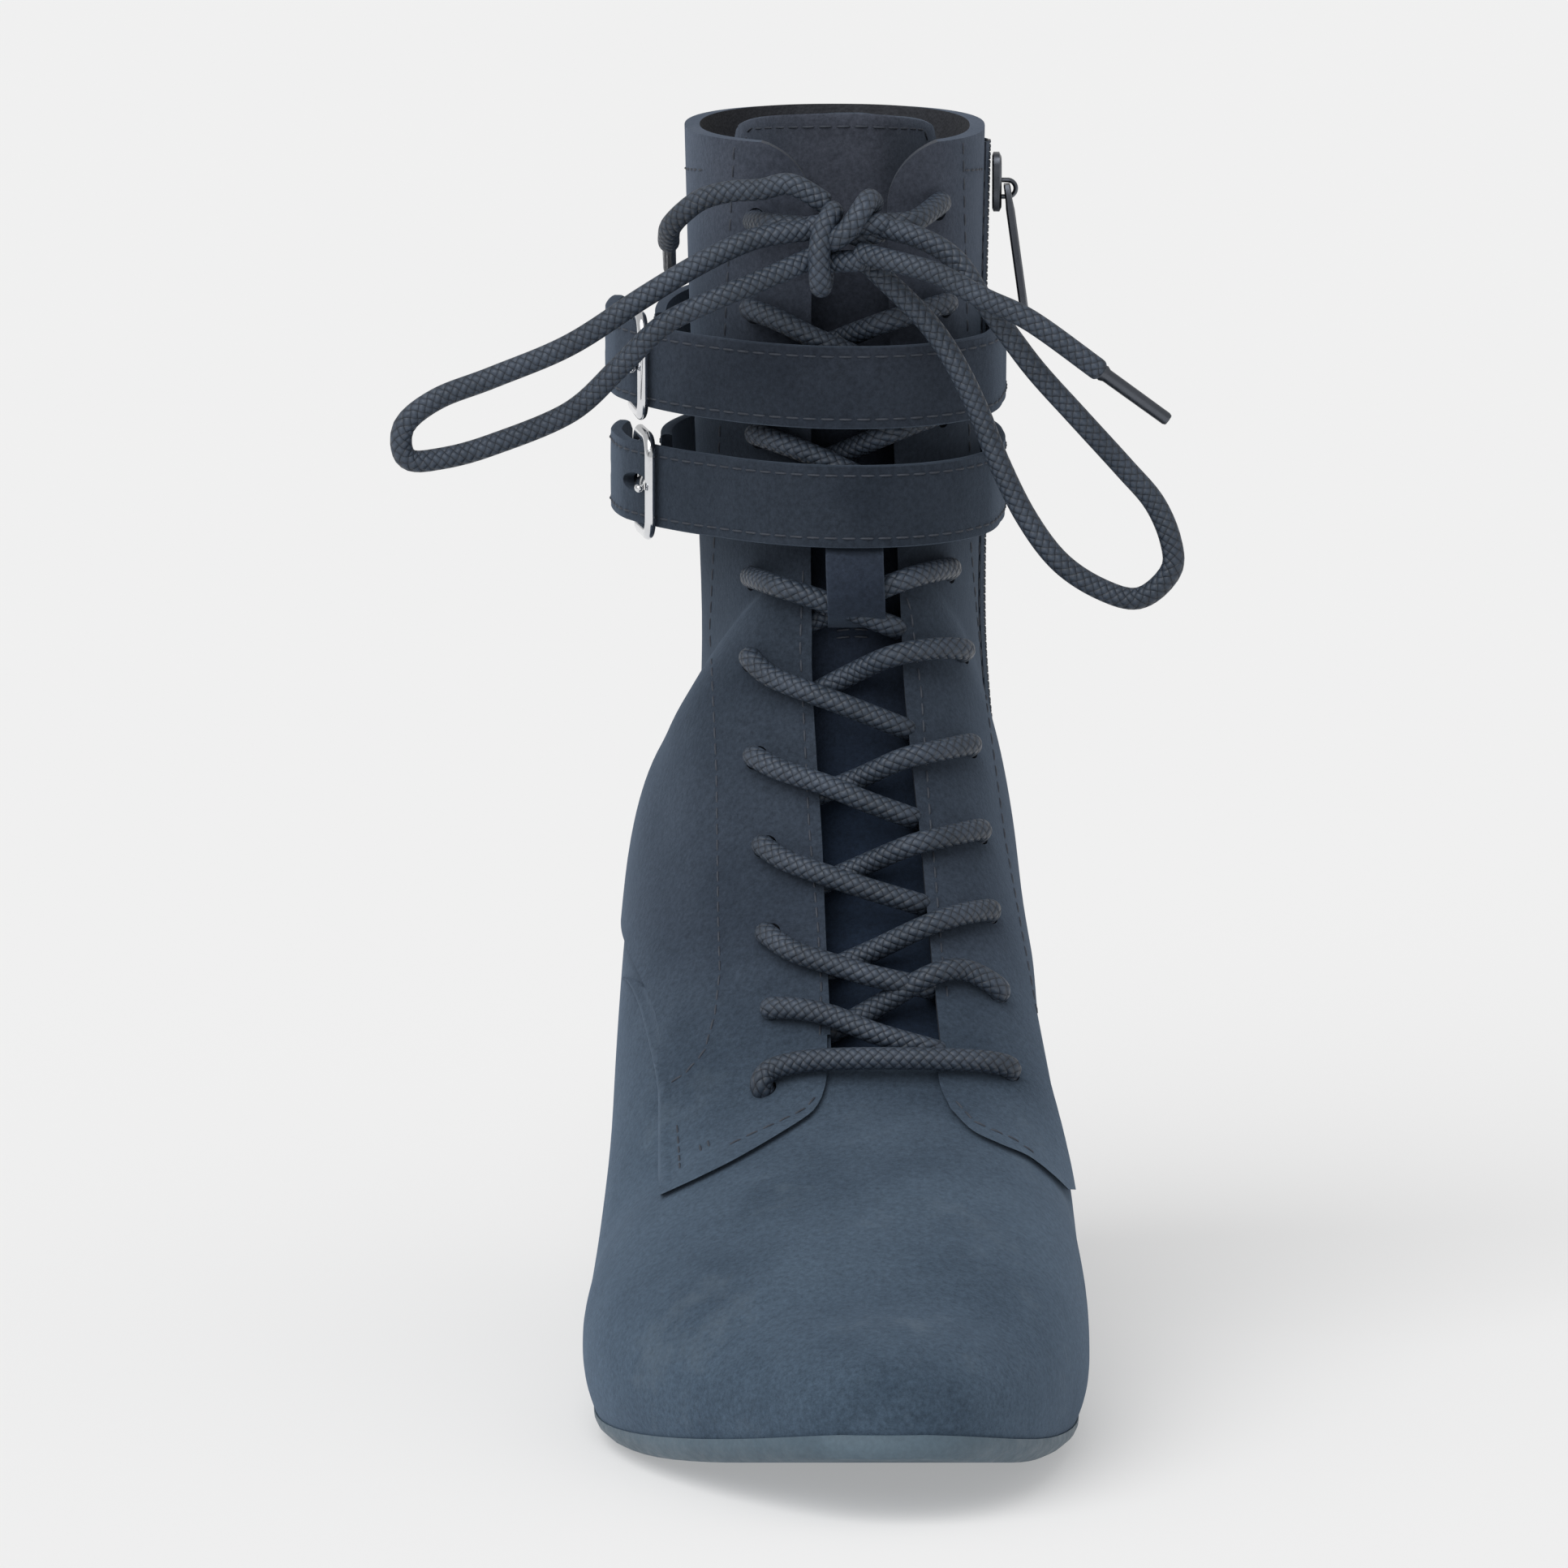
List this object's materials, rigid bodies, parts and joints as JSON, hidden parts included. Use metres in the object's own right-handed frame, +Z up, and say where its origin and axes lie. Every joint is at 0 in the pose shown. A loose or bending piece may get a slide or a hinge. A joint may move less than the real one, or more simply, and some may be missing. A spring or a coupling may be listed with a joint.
{
  "type": "lace up ankle boot",
  "caption": "Right ankle boot in suede with a laced front, tied bow, two buckled straps, side zip and a block heel.",
  "frame": {"origin": "centre of the heel's flat tip, on the floor", "axes": "+Z up, the toe points along -Y, +X is the medial side (the wearer's left, since it is a right boot)"},
  "size_m": [0.1429, 0.2499, 0.2235],
  "materials": {
    "suede": "napped",
    "tongue_suede": "napped",
    "sole_rubber": "matte",
    "insole_board": "matte",
    "waxed_lace": "waxed",
    "buckle_chrome": "polished",
    "zip_gunmetal": "dark plated",
    "zip_tape": "woven"
  },
  "bodies": {
    "boot": {"upper": "suede", "tongue": "tongue_suede", "tongue_keeper": "tongue_suede", "outsole": "sole_rubber", "insole": "insole_board", "heel": "suede", "heel_top_piece": "sole_rubber", "lower_strap": "suede", "upper_strap": "suede", "lower_buckle": "buckle_chrome", "lower_buckle_prong": "buckle_chrome", "upper_buckle": "buckle_chrome", "upper_buckle_prong": "buckle_chrome", "zip_teeth": "zip_tape", "zip_slider": "zip_gunmetal", "lace_00": "waxed_lace", "lace_01": "waxed_lace", "lace_02": "waxed_lace", "lace_03": "waxed_lace", "lace_04": "waxed_lace", "lace_05": "waxed_lace", "lace_06": "waxed_lace", "lace_07": "waxed_lace", "lace_08": "waxed_lace", "lace_09": "waxed_lace", "lace_10": "waxed_lace", "lace_11": "waxed_lace", "lace_12": "waxed_lace", "lace_13": "waxed_lace", "lace_14": "waxed_lace", "lace_15": "waxed_lace", "lace_16": "waxed_lace", "lace_17": "waxed_lace", "lace_18": "waxed_lace", "bow_knot": "waxed_lace", "bow_loop_left": "waxed_lace", "bow_loop_right": "waxed_lace", "lace_end_left": "waxed_lace", "lace_end_right": "waxed_lace", "aglet_left": "zip_gunmetal", "aglet_right": "zip_gunmetal"},
    "zip_pull": {"zip_pull": "zip_gunmetal"}
  },
  "joints": [
    {"name": "zip_pull_hinge", "type": "hinge", "parent": "boot", "child": "zip_pull", "pos_m": [0.03185, -0.005, 0.207], "axis": [0, -1, 0], "range_deg": [-3, 150]}
  ]
}
